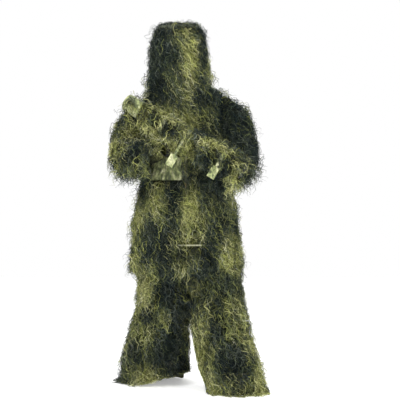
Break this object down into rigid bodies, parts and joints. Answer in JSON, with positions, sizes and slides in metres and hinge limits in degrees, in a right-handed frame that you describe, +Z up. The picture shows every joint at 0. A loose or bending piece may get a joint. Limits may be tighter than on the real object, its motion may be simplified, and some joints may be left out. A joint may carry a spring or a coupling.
{
  "type": "ghillie suit",
  "caption": "Shaggy camouflage suit in a standing pose: hood with a face veil, zipped jacket, trousers and a rifle wrap, covered in long jute threads.",
  "frame": {"origin": "centre of the suit's footprint, at the floor under the trouser hems", "axes": "+Z up, -Y the front of the suit, +X the wearer's left"},
  "size_m": [0.7308, 0.6879, 1.78],
  "materials": {
    "thread_cloth": "shaggy jute threads on camouflage cloth",
    "camo_cloth": "printed plain-weave camouflage cloth",
    "hem_tape": "pale woven tape",
    "veil_net": "open net with long threads",
    "tape_cloth": "dark green woven tape",
    "elastic": "black ribbed elastic",
    "zip_metal": "darkened brass"
  },
  "bodies": {
    "suit": {"collar": "thread_cloth", "jacket_yoke": "thread_cloth", "jacket_chest_right": "thread_cloth", "jacket_chest_left": "thread_cloth", "jacket_back": "thread_cloth", "jacket_sides": "thread_cloth", "waist_gather": "camo_cloth", "waist_elastic": "elastic", "skirt_front_right": "thread_cloth", "skirt_front_left": "thread_cloth", "skirt_back": "thread_cloth", "skirt_hem_tape": "hem_tape", "zip_tape_right": "tape_cloth", "zip_tape_left": "tape_cloth", "zip_teeth": "zip_metal", "trouser_seat": "thread_cloth", "trouser_waist_elastic": "elastic", "right_thigh": "thread_cloth", "left_thigh": "thread_cloth"},
    "hood": {"hood_crown": "thread_cloth", "hood_sides": "thread_cloth", "hood_edge_elastic": "elastic", "veil_brow_band": "tape_cloth"},
    "veil": {"face_veil": "veil_net"},
    "right_sleeve": {"right_upper_sleeve": "thread_cloth", "right_forearm_sleeve": "thread_cloth", "right_cuff_elastic": "elastic"},
    "left_sleeve": {"left_upper_sleeve": "thread_cloth", "left_forearm_sleeve": "thread_cloth", "left_cuff_elastic": "elastic"},
    "rifle_wrap": {"wrap_front_panel": "thread_cloth", "wrap_back_panel": "thread_cloth", "wrap_stock_cover": "camo_cloth", "wrap_mouth_elastic": "elastic", "wrap_strap_rear": "camo_cloth", "wrap_strap_middle": "camo_cloth", "wrap_strap_front": "camo_cloth", "wrap_tab_rear": "camo_cloth", "wrap_tab_front": "camo_cloth"},
    "slider": {"zip_slider": "zip_metal"},
    "pull": {"zip_pull": "zip_metal"},
    "right_lower_leg": {"right_shin": "thread_cloth", "right_hem_tape": "hem_tape"},
    "left_lower_leg": {"left_shin": "thread_cloth", "left_hem_tape": "hem_tape"}
  },
  "joints": [
    {"name": "hood_tip", "type": "hinge", "parent": "suit", "child": "hood", "pos_m": [-0.049, 0.163, 1.5], "axis": [-1, 0, 0], "range_deg": [0, 100]},
    {"name": "veil_lift", "type": "hinge", "parent": "hood", "child": "veil", "pos_m": [-0.049, -0.108, 1.7425], "axis": [-1, 0, 0], "range_deg": [0, 100]},
    {"name": "right_shoulder_lift", "type": "hinge", "parent": "suit", "child": "right_sleeve", "pos_m": [-0.2, 0.04, 1.355], "axis": [-1, 0, 0], "range_deg": [0, 30]},
    {"name": "left_shoulder_lift", "type": "hinge", "parent": "suit", "child": "left_sleeve", "pos_m": [0.172, 0.04, 1.355], "axis": [-1, 0, 0], "range_deg": [0, 30]},
    {"name": "wrap_off", "type": "slide", "parent": "right_sleeve", "child": "rifle_wrap", "axis": [0, -0.96, 0.28], "range_m": [0, 0.3]},
    {"name": "zip_slide", "type": "slide", "parent": "suit", "child": "slider", "axis": [0, -0.0712, -0.9975], "range_m": [0, 0.564]},
    {"name": "zip_pull_turn", "type": "hinge", "parent": "slider", "child": "pull", "pos_m": [-0.014, -0.09278, 1.30253], "axis": [-1, 0, 0], "range_deg": [0, 150]},
    {"name": "right_knee", "type": "hinge", "parent": "suit", "child": "right_lower_leg", "pos_m": [-0.127, 0.198, 0.44], "axis": [1, 0, 0], "range_deg": [0, 40]},
    {"name": "left_knee", "type": "hinge", "parent": "suit", "child": "left_lower_leg", "pos_m": [0.137, 0.153, 0.44], "axis": [1, 0, 0], "range_deg": [0, 40]}
  ],
  "couplings": [
    {"joint": "left_shoulder_lift", "follows": "right_shoulder_lift", "ratio": 1}
  ]
}
